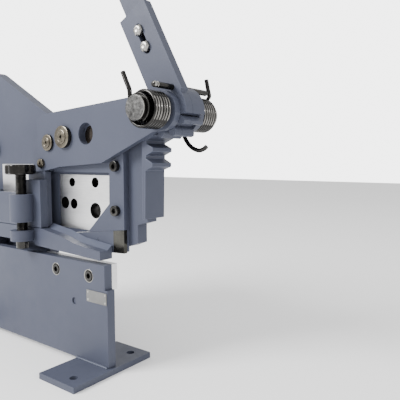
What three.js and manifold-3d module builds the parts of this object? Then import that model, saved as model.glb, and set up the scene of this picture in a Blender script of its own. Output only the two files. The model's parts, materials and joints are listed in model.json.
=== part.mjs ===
// Hand-lever metal shear: a welded frame with fixed blades, a toothed pivoting jaw,
// a lever pinion with two torsion springs, and a screw hold-down. Millimetres, +Z up,
// +X towards the working end, +Y towards the back. Machine datum: X 0 is the working
// end of the body plate, Y 0 its mid-plane, Z 0 the floor.
import * as THREE from "three";
import { mergeVertices } from "three/addons/utils/BufferGeometryUtils.js";
import Module from "manifold-3d";

const wasm = await Module();
wasm.setup();

// ---- Driving dimensions -------------------------------------------------------------
const GAP = 0.3;                                  // clearance left between touching pieces
const BODY = { front: -8, back: 8, top: 180, left: -470, right: 0 };
const FOOT = { width: 86, depth: 168, thick: 10, holeRadius: 7, holeOffset: 62 };
const FRONT_CHEEK = [8.3, 20];                    // Y layers, front to back
const FRONT_LAYER = [20.3, 32];
const FRAME_LAYER = [32.3, 53.7];
const REAR_LAYER = [54, 66];
const REAR_CHEEK = [66.3, 78];
const JAW_FRONT = [20.4, 31.9];
const JAW_REAR = [54.1, 65.8];
const JAW_PIVOT = [-390, 375];
const PINION_AXIS = [100.7, 421.9];
const GEAR = { module: 7.5, teeth: 9, pressure: 25, addendum: 6, dedendum: 7.9, backlash: 0.5 };
const PINION_PHASE = -25;                         // direction of one pinion tooth, degrees
const PINION_LAST_TOOTH = 5;                      // teeth counted clockwise from that one
const SHAFT = { radius: 18, front: -44.5, back: 130 };
const SPRING = { coilRadius: 24.9, wireRadius: 2.6, turns: 6, pitch: 5.6 };
const FRONT_LEG = { coilStart: 135, direction: 115.6, length: 40 };   // degrees, degrees, mm
const REAR_LEG = { coilStart: 61.5, direction: 102.3, length: 37 };
const ARM_LAYER = [20.4, 36.4];                   // the lever arm's plate
const BAR_LAYER = [36.7, 48.4];                   // the flat bar bolted behind it
const LEVER = { lean: 28, left: -14.7, right: 42.5, armTop: 170 };
const LEVER_BAR = { start: 84, top: 900, left: -11, right: 30 };
const LEVER_BOLTS = { along: [104.7, 134.1], across: 13.4, headRadius: 9.2, shankRadius: 5.8 };
const GRIP = { halfWidth: 29, halfDepth: 13, length: 146 };
const STOP_PIN = { across: 12.9, up: 34.1, radius: 4.5 };
const BLADE = { length: 178, right: -6, height: 43, screws: [-132, -45], screwHeight: 158 };
const UPPER_BLADE = {                             // cutting edge and top edge, both rising to the right
  left: -187, right: 11.2, leftEdge: 187.6, rightEdge: 197.5, leftTop: 212.2, rightTop: 236, back: 27,
};
const LARGE_PIN = [-121, 390];
const SMALL_PIN = [-167, 381];
const CHEEK_BOLT = [-188, 344];
const TIE_BOLT = [-65, 392];
const TIE_BOLT_RADIUS = 16.5;
const CAP_SCREWS = [[-6, 340], [-6, 267]];
const HOLD_SCREW = { x: -211.6, y: -21, radius: 10, bossRadius: 21 };
const LUG = { left: -330, right: -173.5, bottom: 227.5, shelf: 288, top: 314, bossBottom: 238 };
const KNIFE = { left: -168, right: -26.3, bottom: 226, top: 324 };
const MOVING_KNIFE = { left: -167, right: -28, bottom: 238, top: 322 };
const JAW_TOP = 415;
const RACK = { left: 52.3, right: 58, bottom: 257, top: 437, frontTop: 392 };

// ---- Materials ----------------------------------------------------------------------
const material = (color, roughness, metalness) =>
  new THREE.MeshStandardMaterial({ color, roughness, metalness });
const paint = material(0x7c8392, 0.45, 0.1);
const darkSteel = material(0x3a3832, 0.35, 0.9);
const boltSteel = material(0x8f8a78, 0.35, 0.9);
const groundSteel = material(0xd9dade, 0.25, 1.0);
const bronze = material(0x9a7440, 0.4, 0.9);
const plateMetal = material(0xc3c2bd, 0.4, 0.8);
const rubber = material(0x1c1c1e, 0.8, 0.0);

// ---- Solid helpers ------------------------------------------------------------------
const radians = THREE.MathUtils.degToRad;

function toSolid(geometry) {
  const bare = geometry.clone();
  bare.deleteAttribute("normal");
  bare.deleteAttribute("uv");
  const merged = mergeVertices(bare, 1e-4);
  return new wasm.Manifold(new wasm.Mesh({
    numProp: 3,
    vertProperties: new Float32Array(merged.attributes.position.array),
    triVerts: new Uint32Array(merged.index.array),
  }));
}

function toGeometry(solid) {
  const mesh = solid.getMesh();
  const geometry = new THREE.BufferGeometry();
  geometry.setAttribute("position", new THREE.BufferAttribute(mesh.vertProperties, 3));
  geometry.setIndex(new THREE.BufferAttribute(mesh.triVerts, 1));
  geometry.computeVertexNormals();
  return geometry;
}

const join = (...pieces) => toGeometry(pieces.map(toSolid).reduce((sum, next) => sum.add(next)));
const cut = (piece, ...tools) =>
  toGeometry(tools.map(toSolid).reduce((rest, tool) => rest.subtract(tool), toSolid(piece)));

function add(parent, name, geometry, look) {
  const mesh = new THREE.Mesh(geometry, look);
  mesh.name = name;
  parent.add(mesh);
  return mesh;
}

function outline(points) {
  return new THREE.Shape(points.map(([x, z]) => new THREE.Vector2(x, z)));
}

function rectangle({ left, right, bottom, top }, margin) {
  return [[left - margin, bottom - margin], [right + margin, bottom - margin],
    [right + margin, top + margin], [left - margin, top + margin]];
}

function drill(shape, [x, z], radius) {
  const hole = new THREE.Path();
  hole.absarc(x, z, radius, 0, Math.PI * 2, true);
  shape.holes.push(hole);
  return shape;
}

// A plate standing in the XZ plane, between two Y values.
function plate(shape, [front, back], curveSegments = 9) {
  const geometry = new THREE.ExtrudeGeometry(shape, {
    depth: back - front, bevelEnabled: false, curveSegments,
  });
  return geometry.rotateX(Math.PI / 2).translate(0, back, 0);
}

function slab(x0, x1, y0, y1, z0, z1) {
  return new THREE.BoxGeometry(x1 - x0, y1 - y0, z1 - z0)
    .translate((x0 + x1) / 2, (y0 + y1) / 2, (z0 + z1) / 2);
}

// A round bar along Y at (x, z), or along Z at (x, y).
function barY([x, z], radius, [front, back], sides = 24) {
  return new THREE.CylinderGeometry(radius, radius, back - front, sides)
    .translate(x, (front + back) / 2, z);
}

function barZ([x, y], radius, [bottom, top], sides = 24) {
  return new THREE.CylinderGeometry(radius, radius, top - bottom, sides)
    .rotateX(Math.PI / 2).translate(x, y, (bottom + top) / 2);
}

// A screw or pin along Y whose head faces the front and has a hexagon socket.
function socketScrew(centre, headRadius, shankRadius, [front, shoulder, end], socket) {
  const body = join(
    barY(centre, headRadius, [front, shoulder]),
    barY(centre, shankRadius, [shoulder - 1, end], 24),
  );
  return cut(body, barY(centre, socket, [front - 1, front + (shoulder - front) * 0.6], 6));
}

function hexNut(centre, radius, bore, layer) {
  return cut(barY(centre, radius, layer, 6), barY(centre, bore, [layer[0] - 1, layer[1] + 1], 24));
}

// ---- Gearing ------------------------------------------------------------------------
const pitchRadius = GEAR.module * GEAR.teeth / 2;
const baseRadius = pitchRadius * Math.cos(radians(GEAR.pressure));
const tipRadius = pitchRadius + GEAR.addendum;
const rootRadius = pitchRadius - GEAR.dedendum;
const involute = (angle) => Math.tan(angle) - angle;
const toothPitch = Math.PI * GEAR.module;
const toothThickness = toothPitch / 2 - GEAR.backlash;
const lineX = PINION_AXIS[0] - JAW_PIVOT[0];
const lineZ = PINION_AXIS[1] - JAW_PIVOT[1];
const sectorRadius = Math.hypot(lineX, lineZ) - pitchRadius;
const lineAngle = Math.atan2(lineZ, lineX);

function pinionHalfAngle(radius) {
  const flank = Math.acos(Math.min(1, baseRadius / Math.max(radius, baseRadius)));
  return toothThickness / (2 * pitchRadius) + involute(radians(GEAR.pressure)) - involute(flank);
}

// The toothed outline of the pinion: teeth on one side, a full round hub on the other.
function pinionShape() {
  const [cx, cz] = PINION_AXIS;
  const points = [];
  const put = (radius, angle) =>
    points.push([cx + radius * Math.cos(angle), cz + radius * Math.sin(angle)]);
  const step = 2 * Math.PI / GEAR.teeth;
  const radii = [rootRadius, baseRadius, (baseRadius + pitchRadius) / 2, pitchRadius,
    (pitchRadius + tipRadius) / 2, tipRadius];
  for (let tooth = 0; tooth <= PINION_LAST_TOOTH; tooth += 1) {
    const centre = radians(PINION_PHASE) - tooth * step;
    radii.forEach((radius) => put(radius, centre + pinionHalfAngle(radius)));
    radii.toReversed().forEach((radius) => put(radius, centre - pinionHalfAngle(radius)));
  }
  const hubStart = radians(PINION_PHASE) - PINION_LAST_TOOTH * step - step / 2;
  const hubEnd = radians(PINION_PHASE) + step / 2 - 2 * Math.PI;
  const hubSteps = 18;
  for (let i = 0; i <= hubSteps; i += 1) {
    put(tipRadius, hubStart + (hubEnd - hubStart) * i / hubSteps);
  }
  return outline(points.toReversed());
}

// Sector teeth centred on the jaw pivot, set so that they sit between the pinion's teeth.
function rackShape(firstTooth, lastTooth, topHeight) {
  const [px, pz] = JAW_PIVOT;
  const meshAngle = Math.PI + lineAngle;
  const toothAngle = radians(PINION_PHASE) - 4 * 2 * Math.PI / GEAR.teeth + 2 * Math.PI;
  const gapArc = (meshAngle - toothAngle) * pitchRadius;
  const points = [];
  const put = (offset, arc) => {
    const angle = lineAngle + arc / sectorRadius;
    points.push([px + (sectorRadius + offset) * Math.cos(angle),
      pz + (sectorRadius + offset) * Math.sin(angle)]);
  };
  const slope = Math.tan(radians(GEAR.pressure));
  for (let tooth = firstTooth; tooth <= lastTooth; tooth += 1) {
    const centre = gapArc + (tooth - 0.5) * toothPitch;
    const half = toothThickness / 2;
    put(-GEAR.dedendum, centre - half - GEAR.dedendum * slope);
    put(GEAR.addendum, centre - half + GEAR.addendum * slope);
    put(GEAR.addendum, centre + half - GEAR.addendum * slope);
    put(-GEAR.dedendum, centre + half + GEAR.dedendum * slope);
  }
  points.push([RACK.left + 7, topHeight], [RACK.left, topHeight]);
  points.push([RACK.left, RACK.bottom], [RACK.right, RACK.bottom]);
  return outline(points);
}

// ---- Frame --------------------------------------------------------------------------
const machine = new THREE.Group();

function buildFrame() {
  const bodyShape = outline([
    [BODY.left, FOOT.thick + GAP], [BODY.right, FOOT.thick + GAP], [BODY.right, 139],
    [BLADE.right, 139], [BLADE.right, BODY.top], [-335, BODY.top],
    [-350, 300], [BODY.left, 300],
  ]);
  BLADE.screws.forEach((x) => drill(bodyShape, [x, BLADE.screwHeight], 5.4));
  const counterbores = BLADE.screws.map((x) =>
    barY([x, BLADE.screwHeight], 10.5, [BODY.front - 1, BODY.front + 7]));
  const dimple = barY([-83, 109], 6, [BODY.front - 1, BODY.front + 2.5]);
  add(machine, "body_plate", cut(plate(bodyShape, [BODY.front, BODY.back]), ...counterbores, dimple),
    paint);

  const feet = { right_foot: 7, left_foot: -391 };
  for (const [name, rightEdge] of Object.entries(feet)) {
    const foot = new THREE.Shape();
    foot.moveTo(rightEdge - FOOT.width, -FOOT.depth / 2);
    foot.lineTo(rightEdge, -FOOT.depth / 2);
    foot.lineTo(rightEdge, FOOT.depth / 2);
    foot.lineTo(rightEdge - FOOT.width, FOOT.depth / 2);
    const inward = name === "right_foot" ? -27 : -FOOT.width + 27;
    [-1, 1].forEach((side) =>
      drill(foot, [rightEdge + inward, side * FOOT.holeOffset], FOOT.holeRadius));
    const geometry = new THREE.ExtrudeGeometry(foot, {
      depth: FOOT.thick, bevelEnabled: false, curveSegments: 12,
    });
    add(machine, name, geometry, paint);
  }

  const framePlate = outline([
    [-470, FOOT.thick + GAP], [-391, FOOT.thick + GAP], [-345, 60], [-205, 110],
    [-205, 214], [KNIFE.right + GAP, 214], [KNIFE.right + GAP, KNIFE.bottom - GAP],
    [KNIFE.left - GAP, KNIFE.bottom - GAP], [KNIFE.left - GAP, KNIFE.top + GAP],
    [KNIFE.right + GAP, KNIFE.top + GAP], [KNIFE.right + GAP, 345], [-95, 345],
    [-95, 405], [-146, 405], [-366, 527], [-374, 530], [-440, 530], [-470, 480],
  ]);
  drill(framePlate, LARGE_PIN, 10.3);
  drill(framePlate, SMALL_PIN, 7.3);
  drill(framePlate, CHEEK_BOLT, 4.8);
  drill(framePlate, JAW_PIVOT, 15.3);
  add(machine, "frame_plate", plate(framePlate, FRAME_LAYER), paint);

  add(machine, "lower_packing", slab(-460, -352, BODY.back + GAP, 32, 30, 290), paint);

  const frontPacking = outline([[-232, 228], [-205, 228], [-205, 330], [-178, 330], [-178, 366],
    [-100, 366], [-100, 420], [-190, 420], [-232, 380]]);
  const rearPacking = outline([[-205, 366], [-100, 366], [-100, 420], [-190, 420], [-205, 410]]);
  drill(frontPacking, CHEEK_BOLT, 4.8);
  for (const shape of [frontPacking, rearPacking]) {
    drill(shape, LARGE_PIN, 10.3);
    drill(shape, SMALL_PIN, 7.3);
  }
  add(machine, "front_packing", plate(frontPacking, FRONT_LAYER), paint);
  add(machine, "rear_packing", plate(rearPacking, REAR_LAYER), paint);
}

// A cheek reaches from the frame to the pinion shaft and ends in a round eye.
function cheekShape(lowerBolt) {
  const [cx, cz] = PINION_AXIS;
  const eye = 30;
  const shape = new THREE.Shape();
  shape.moveTo(-183, 330);
  shape.lineTo(-138, 338);
  shape.lineTo(-28, 345);
  shape.lineTo(85, 391);
  shape.lineTo(cx + eye * Math.cos(radians(-66)), cz + eye * Math.sin(radians(-66)));
  shape.absarc(cx, cz, eye, radians(-66), radians(97), false);
  shape.lineTo(35, 446);
  shape.lineTo(-147, 435);
  shape.quadraticCurveTo(-199, 432, -200, 421);
  shape.lineTo(-198, 345);
  shape.quadraticCurveTo(-197, 331, -183, 330);
  drill(shape, PINION_AXIS, SHAFT.radius + GAP);
  drill(shape, LARGE_PIN, 10.3);
  drill(shape, SMALL_PIN, 7.3);
  drill(shape, [-65, 394], 18.5);
  if (lowerBolt) {
    drill(shape, CHEEK_BOLT, 4.8);
  }
  return shape;
}

function buildCheeks() {
  add(machine, "front_cheek", plate(cheekShape(true), FRONT_CHEEK), paint);
  add(machine, "rear_cheek", plate(cheekShape(false), REAR_CHEEK), paint);
  const [cheekFront] = FRONT_CHEEK;
  const nutLayer = [REAR_CHEEK[1] + GAP, REAR_CHEEK[1] + 12];
  const pins = [
    ["large_cheek_pin", "large_pin_nut", LARGE_PIN, 19.5, 10, 15, 9, 8],
    ["small_cheek_pin", "small_pin_nut", SMALL_PIN, 15, 7, 11, 6, 4],
  ];
  for (const [pin, nut, centre, head, shank, across, thick, socket] of pins) {
    const ends = [cheekFront - GAP - thick, cheekFront - GAP, nutLayer[1] + 4];
    add(machine, pin, socketScrew(centre, head, shank, ends, socket * 0.5), boltSteel);
    add(machine, nut, hexNut(centre, across, shank + GAP, nutLayer), boltSteel);
  }
  const boltEnds = [cheekFront - GAP - 5, cheekFront - GAP, FRAME_LAYER[1] - 4];
  add(machine, "cheek_bolt", socketScrew(CHEEK_BOLT, 8.5, 4.5, boltEnds, 3.5), boltSteel);
}

// ---- Shaft, springs and clips -------------------------------------------------------
// A straight leg that bends into the coil. The side is +1 for a coil that runs towards the back.
function springPath(start, turns, leg, side) {
  const [cx, cz] = PINION_AXIS;
  const coilStart = radians(leg.coilStart);
  const direction = radians(leg.direction);
  const foot = [cx + SPRING.coilRadius * Math.cos(coilStart), cz + SPRING.coilRadius * Math.sin(coilStart)];
  const points = [1, 0.6, 0.25].map((share) => new THREE.Vector3(
    foot[0] + leg.length * share * Math.cos(direction), start,
    foot[1] + leg.length * share * Math.sin(direction)));
  const stepsPerTurn = 20;
  const steps = Math.round(turns * stepsPerTurn);
  for (let i = 1; i <= steps; i += 1) {
    const turned = i / stepsPerTurn;
    const angle = coilStart + turned * 2 * Math.PI;
    points.push(new THREE.Vector3(
      cx + SPRING.coilRadius * Math.cos(angle), start + side * turned * SPRING.pitch,
      cz + SPRING.coilRadius * Math.sin(angle)));
  }
  return points;
}

function wire(points, steps) {
  const section = new THREE.Shape();
  section.absarc(0, 0, SPRING.wireRadius, 0, 2 * Math.PI);
  return new THREE.ExtrudeGeometry(section, {
    steps, extrudePath: new THREE.CatmullRomCurve3(points), curveSegments: 3, bevelEnabled: false,
  });
}

function buildShaft() {
  const [cx, cz] = PINION_AXIS;
  const chamfer = 1.5;
  const profile = [[0, SHAFT.front], [SHAFT.radius - chamfer, SHAFT.front],
    [SHAFT.radius, SHAFT.front + chamfer], [SHAFT.radius, SHAFT.back - chamfer],
    [SHAFT.radius - chamfer, SHAFT.back], [0, SHAFT.back]];
  const lathe = new THREE.LatheGeometry(profile.map(([r, y]) => new THREE.Vector2(r, y)), 28);
  add(machine, "pinion_shaft", lathe.translate(cx, 0, cz), darkSteel);

  const frontPoints = springPath(-31, SPRING.turns, FRONT_LEG, 1);
  add(machine, "front_spring", wire(frontPoints, 104), darkSteel);

  // The rear spring ends in a hook below the shaft.
  const rearPoints = springPath(118.5, SPRING.turns + 0.46, REAR_LEG, -1);
  const last = rearPoints.at(-1);
  const hook = [[-14, -32], [-9, -41], [-2, -49], [7, -54.5], [17, -57], [26, -54.5], [31, -51]];
  hook.forEach(([x, z]) => rearPoints.push(new THREE.Vector3(cx + x, last.y, cz + z)));
  add(machine, "rear_spring", wire(rearPoints, 122), darkSteel);

  const clipPlaces = { front_shaft_clip: -38.5, rear_shaft_clip: 123 };
  for (const [name, y] of Object.entries(clipPlaces)) {
    const ring = new THREE.Shape();
    ring.absarc(cx, cz, 21.5, radians(-60), radians(240), false);
    ring.absarc(cx, cz, SHAFT.radius + GAP, radians(240), radians(-60), true);
    add(machine, name, plate(ring, [y, y + 2], 12), darkSteel);
  }
}

// ---- Fixed blades and trim ----------------------------------------------------------
function buildFixedBlades() {
  const blade = outline([
    [BLADE.right - BLADE.length, BODY.top - BLADE.height], [BLADE.right, BODY.top - BLADE.height],
    [BLADE.right, BODY.top], [BLADE.right - BLADE.length, BODY.top],
  ]);
  BLADE.screws.forEach((x) => drill(blade, [x, BLADE.screwHeight], 5.4));
  add(machine, "lower_blade", plate(blade, [BODY.back + GAP, FRONT_CHEEK[1] - 0.1]), groundSteel);
  BLADE.screws.forEach((x, index) => {
    const ends = [BODY.front - 1, BODY.front + 7 - GAP, FRONT_CHEEK[1] - 2];
    const screw = socketScrew([x, BLADE.screwHeight], 9, 5, ends, 4.6);
    add(machine, `lower_blade_screw_${index + 1}`, screw, boltSteel);
  });
  add(machine, "rating_plate", slab(-49.5, -1, BODY.front - 1.3, BODY.front - GAP, 115, 135),
    plateMetal);

  const profileHoles = [[-71, 262, 14], [-154, 272, 11], [-129, 271, 9.5],
    [-71, 311, 9], [-133, 310, 8]];
  const knife = outline(rectangle(KNIFE, 0));
  const moving = outline(rectangle(MOVING_KNIFE, 0));
  for (const [x, z, radius] of profileHoles) {
    drill(knife, [x, z], radius);
    drill(moving, [x, z], radius - 1);
  }
  add(machine, "fixed_profile_knife", plate(knife, FRAME_LAYER), groundSteel);
  add(jaw, "moving_profile_knife", plate(moving, JAW_REAR), groundSteel);
  add(machine, "fixed_angle_knife", slab(-350, -235, 26.5, FRONT_LAYER[1], 262, 342),
    groundSteel);
}

// ---- Moving jaw ---------------------------------------------------------------------
const jaw = new THREE.Group();
machine.add(jaw);

function buildJaw() {
  const { left, right, leftEdge, rightEdge, leftTop, rightTop, back: bladeBack } = UPPER_BLADE;
  const share = (x) => (x - left) / (right - left);
  const edge = (x) => leftEdge + (rightEdge - leftEdge) * share(x);
  const top = (x) => leftTop + (rightTop - leftTop) * share(x);
  const middle = (x) => (edge(x) + top(x)) / 2;
  const plateRight = 11.5;
  const cornerX = -77.5;
  const relief = 2;                               // the web stops this far above the cutting edge
  const upper = [[plateRight, JAW_TOP], [-92, JAW_TOP], [-92, 348], [-170, 348], [-170, 329],
    [-22, 329], [-23, 277], [cornerX, top(cornerX) + GAP]];
  const main = outline([[plateRight, top(plateRight) + GAP], ...upper]);
  const web = outline([[plateRight, edge(plateRight) + relief], ...upper, [left, leftTop],
    [left, leftEdge + relief]]);
  const bolts = [-160, -110, -50];
  for (const shape of [main, web]) {
    CAP_SCREWS.forEach((place) => drill(shape, place, 5.3));
    drill(shape, TIE_BOLT, TIE_BOLT_RADIUS + GAP);
  }
  bolts.forEach((x) => drill(web, [x, middle(x)], 4.3));
  add(jaw, "jaw_front_plate", join(
    plate(main, JAW_FRONT),
    plate(web, [bladeBack + GAP, JAW_FRONT[1]]),
  ), paint);

  const blade = outline([[left, leftEdge], [right, rightEdge], [right, rightTop], [left, leftTop]]);
  bolts.forEach((x) => drill(blade, [x, middle(x)], 4.3));
  add(jaw, "upper_blade", plate(blade, [20.2, bladeBack]), groundSteel);
  bolts.forEach((x, index) => {
    const screw = barY([x, middle(x)], 4, [20.6, JAW_FRONT[1]], 20);
    add(jaw, `upper_blade_screw_${index + 1}`, screw, boltSteel);
  });

  const rear = new THREE.Shape();
  rear.moveTo(plateRight, 215);
  rear.lineTo(plateRight, JAW_TOP);
  rear.lineTo(-92, JAW_TOP);
  rear.lineTo(-92, 348);
  rear.lineTo(-210, 348);
  rear.lineTo(-372, 408);
  rear.absarc(JAW_PIVOT[0], JAW_PIVOT[1], 38, radians(61), radians(237), false);
  rear.lineTo(-330, 300);
  rear.lineTo(-190, 215);
  CAP_SCREWS.forEach((place) => drill(rear, place, 5.3));
  drill(rear, TIE_BOLT, TIE_BOLT_RADIUS + GAP);
  drill(rear, JAW_PIVOT, 20.3);
  const pocket = new THREE.Path(rectangle(MOVING_KNIFE, GAP)
    .map(([x, z]) => new THREE.Vector2(x, z)));
  rear.holes.push(pocket);
  add(jaw, "jaw_rear_plate", plate(rear, JAW_REAR), paint);

  const bush = cut(barY(JAW_PIVOT, 19.7, JAW_REAR, 24), barY(JAW_PIVOT, 15.3, [50, 70], 24));
  add(jaw, "jaw_pivot_bush", bush, bronze);

  const block = outline([[-15, 215], [-5, 208], [11, 208], [30.5, 215], [30.5, 245], [52, 251],
    [52, 398], [-15, 398]]);
  CAP_SCREWS.forEach((place) => drill(block, place, 5.3));
  add(jaw, "jaw_block", plate(block, [JAW_FRONT[1] + GAP, JAW_REAR[0] - GAP]), paint);
  for (const [index, place] of CAP_SCREWS.entries()) {
    const ends = [13.5, JAW_FRONT[0] - GAP, JAW_REAR[1] - 1];
    const name = `jaw_cap_screw_${index + 1}`;
    add(jaw, name, socketScrew(place, 9, 5, ends, 4.6), darkSteel);
  }
  const tieEnds = [JAW_FRONT[0] + 0.4, JAW_REAR[1] - 0.5];
  add(jaw, "jaw_tie_bolt", barY(TIE_BOLT, TIE_BOLT_RADIUS, tieEnds), darkSteel);

  const back = [ARM_LAYER[1] + 0.6, JAW_REAR[1]];
  const front = [JAW_FRONT[0], back[0] + 1];
  add(jaw, "rack_segment", join(
    plate(rackShape(-3, 1, RACK.top), back),
    plate(rackShape(-3, -1, RACK.frontTop), front),
  ), paint);
}

// The pin that the jaw turns on, held in the frame plate.
function buildPivotPin() {
  const pin = join(barY(JAW_PIVOT, 22, [24, FRAME_LAYER[0] - GAP]), barY(JAW_PIVOT, 15, [31, 86]));
  add(machine, "jaw_pivot_pin", pin, boltSteel);
  add(machine, "jaw_pivot_nut", hexNut(JAW_PIVOT, 24, 15.3, [67, 81]), boltSteel);
}

// ---- Lever --------------------------------------------------------------------------
const lever = new THREE.Group();
machine.add(lever);

// Places a point given along and across the lever's centre line.
function onLever(along, across) {
  const lean = radians(LEVER.lean);
  return [PINION_AXIS[0] - along * Math.sin(lean) + across * Math.cos(lean),
    PINION_AXIS[1] + along * Math.cos(lean) + across * Math.sin(lean)];
}

function buildLever() {
  const [cx, cz] = PINION_AXIS;
  const { across, headRadius, shankRadius } = LEVER_BOLTS;
  const stopPin = [cx + STOP_PIN.across, cz + STOP_PIN.up];
  const armOutline = outline([onLever(0, LEVER.left), onLever(0, LEVER.right - 16),
    onLever(14, LEVER.right), onLever(LEVER.armTop, LEVER.right), onLever(LEVER.armTop, LEVER.left)]);
  const slotHalf = 5.5;
  const slotEnds = [99, 140];
  const lean = radians(LEVER.lean);
  const slot = new THREE.Shape();
  slot.absarc(...onLever(slotEnds[1], across), slotHalf, lean, lean + Math.PI, false);
  slot.absarc(...onLever(slotEnds[0], across), slotHalf, lean + Math.PI, lean + 2 * Math.PI, false);
  const through = [ARM_LAYER[0] - 5, REAR_LAYER[1] + 5];
  add(lever, "lever_arm", cut(
    join(plate(armOutline, ARM_LAYER), plate(pinionShape(), ARM_LAYER)),
    plate(slot, through),
    ...LEVER_BOLTS.along.map((along) => barY(onLever(along, across), shankRadius + GAP, through)),
    barY(PINION_AXIS, SHAFT.radius + GAP, through, 40),
    barY(stopPin, STOP_PIN.radius + GAP, through, 20),
  ), paint);
  add(lever, "pinion", cut(
    plate(pinionShape(), [ARM_LAYER[1] + GAP, JAW_REAR[1]]),
    barY(PINION_AXIS, SHAFT.radius + GAP, through, 40),
    barY(stopPin, STOP_PIN.radius + GAP, through, 20),
  ), paint);
  add(lever, "stop_pin", barY(stopPin, STOP_PIN.radius, [-20, 106], 24), darkSteel);

  const { start, top, left, right } = LEVER_BAR;
  const bar = outline([onLever(start, left), onLever(start, right), onLever(top, right),
    onLever(top, left)]);
  LEVER_BOLTS.along.forEach((along) => drill(bar, onLever(along, across), shankRadius + GAP));
  add(lever, "lever_bar", plate(bar, BAR_LAYER), paint);
  LEVER_BOLTS.along.forEach((along, index) => {
    const centre = onLever(along, across);
    const head = [ARM_LAYER[0] - GAP - 6, ARM_LAYER[0] - GAP];
    const nutLayer = [BAR_LAYER[1] + GAP, BAR_LAYER[1] + 10];
    const bolt = join(
      barY(centre, headRadius, head, 6),
      barY(centre, shankRadius, [head[1] - 1, nutLayer[1] + 3], 24),
    );
    add(lever, `lever_bolt_${index + 1}`, bolt, boltSteel);
    add(lever, `lever_nut_${index + 1}`, hexNut(centre, 10.5, shankRadius + GAP, nutLayer), boltSteel);
  });
  buildGrip();
}

// A rubber sleeve over the bar's end, open at the bottom.
function buildGrip() {
  const { start, top, left, right } = LEVER_BAR;
  const cap = 6;
  const gripStart = top + cap - GRIP.length;
  const [gx, gz] = onLever(gripStart, (left + right) / 2);
  const section = new THREE.Shape();
  section.absellipse(0, 0, GRIP.halfWidth, GRIP.halfDepth, 0, 2 * Math.PI);
  const sleeve = new THREE.ExtrudeGeometry(section, {
    depth: GRIP.length, bevelEnabled: false, curveSegments: 16,
  });
  sleeve.rotateY(-radians(LEVER.lean));
  sleeve.translate(gx, (BAR_LAYER[0] + BAR_LAYER[1]) / 2, gz);
  const socket = outline([onLever(start, left - GAP), onLever(start, right + GAP),
    onLever(top + GAP, right + GAP), onLever(top + GAP, left - GAP)]);
  const socketLayer = [BAR_LAYER[0] - GAP, BAR_LAYER[1] + GAP];
  add(lever, "hand_grip", cut(sleeve, plate(socket, socketLayer)), rubber);
}

// ---- Hold-down ----------------------------------------------------------------------
const holdDown = new THREE.Group();
machine.add(holdDown);

// The lug carries the hold-down screw in front of the frame.
function buildLug() {
  const { left, right, bottom, shelf, top, bossBottom } = LUG;
  const { x, y, radius, bossRadius } = HOLD_SCREW;
  const face = outline([[left, bottom], [right, bottom], [right, top], [right - 42.5, top],
    [right - 42.5, shelf], [left, shelf]]);
  const leg = outline([[-230, bottom + 0.5], [-178, bottom + 0.5], [-178, 329], [-230, 329]]);
  const body = join(
    plate(face, [BODY.front, BODY.back]),
    plate(leg, [BODY.back - 1, FRONT_CHEEK[1]]),
    barZ([x, y], bossRadius, [bossBottom, shelf], 32),
  );
  add(machine, "screw_lug", cut(body, barZ([x, y], radius + GAP, [bossBottom - 1, shelf + 1])), paint);
}

// Eight corners, the lower four first, each set going round the same way seen from above.
function hexahedron(corners) {
  const faces = [0, 2, 1, 0, 3, 2, 4, 5, 6, 4, 6, 7, 0, 1, 5, 0, 5, 4,
    1, 2, 6, 1, 6, 5, 2, 3, 7, 2, 7, 6, 3, 0, 4, 3, 4, 7];
  const geometry = new THREE.BufferGeometry();
  geometry.setAttribute("position", new THREE.Float32BufferAttribute(corners.flat(), 3));
  geometry.setIndex(faces);
  return geometry;
}

function buildHoldDown() {
  const { x: sx, y: sy, radius, bossRadius } = HOLD_SCREW;
  const topEdge = [[-16, 201.7], [-80, 208.5], [-118, 218], [-173, 226.4]];
  const lowerEdge = [[-330, 199], [-196, 199], [-193, 194], [-172, 193], [-16, 187]];
  const bar = outline([...lowerEdge, ...topEdge, [-330, 226.4]]);
  const bottomAt = (x) => 187 + (-16 - x) * 6 / 156;
  const flareBack = 18.5;
  const flareRise = 7.5;
  const flareEnd = [-172, 226.2];
  const flare = [...topEdge.slice(0, 3), flareEnd];
  const pieces = [];
  for (let i = 0; i + 1 < flare.length; i += 1) {
    const [[x1, z1], [x0, z0]] = [flare[i], flare[i + 1]];
    const front = BODY.back - 1;
    const slope = flareRise / (flareBack - BODY.back);
    pieces.push(hexahedron([
      [x0, front, bottomAt(x0)], [x1, front, bottomAt(x1)],
      [x1, flareBack, bottomAt(x1)], [x0, flareBack, bottomAt(x0)],
      [x0, front, z0 - slope], [x1, front, z1 - slope],
      [x1, flareBack, z1 + flareRise], [x0, flareBack, z0 + flareRise],
    ]));
  }
  const ring = [203, 222];
  const barBody = join(
    plate(bar, [BODY.front, BODY.back]), ...pieces, barZ([sx, sy], bossRadius, ring, 36),
  );
  add(holdDown, "hold_down_bar",
    cut(barBody, barZ([sx, sy], radius + GAP, [ring[0] - 1, ring[1] + 1])), paint);
  const knobLayer = [324, 342];
  const screwTop = 331;
  add(holdDown, "hold_down_screw", join(
    barZ([sx, sy], radius, [ring[0] - 10.5, screwTop]),
    barZ([sx, sy], radius + 1.5, [ring[0] - 14.5, ring[0] - GAP]),
  ), darkSteel);
  const knobRadius = 27;
  add(holdDown, "hand_knob", cut(
    barZ([sx, sy], knobRadius, knobLayer, 8),
    barZ([sx, sy], radius + GAP, [knobLayer[0] - 1, screwTop + 0.5]),
  ), darkSteel);
}

buildFrame();
buildCheeks();
buildShaft();
buildJaw();
buildFixedBlades();
buildPivotPin();
buildLever();
buildLug();
buildHoldDown();

// The part's origin is the middle of its box, on the floor.
const part = new THREE.Group();
part.add(machine);
const box = new THREE.Box3().setFromObject(machine);
machine.position.set(-(box.min.x + box.max.x) / 2, -(box.min.y + box.max.y) / 2, -box.min.z);
export default part;
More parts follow.
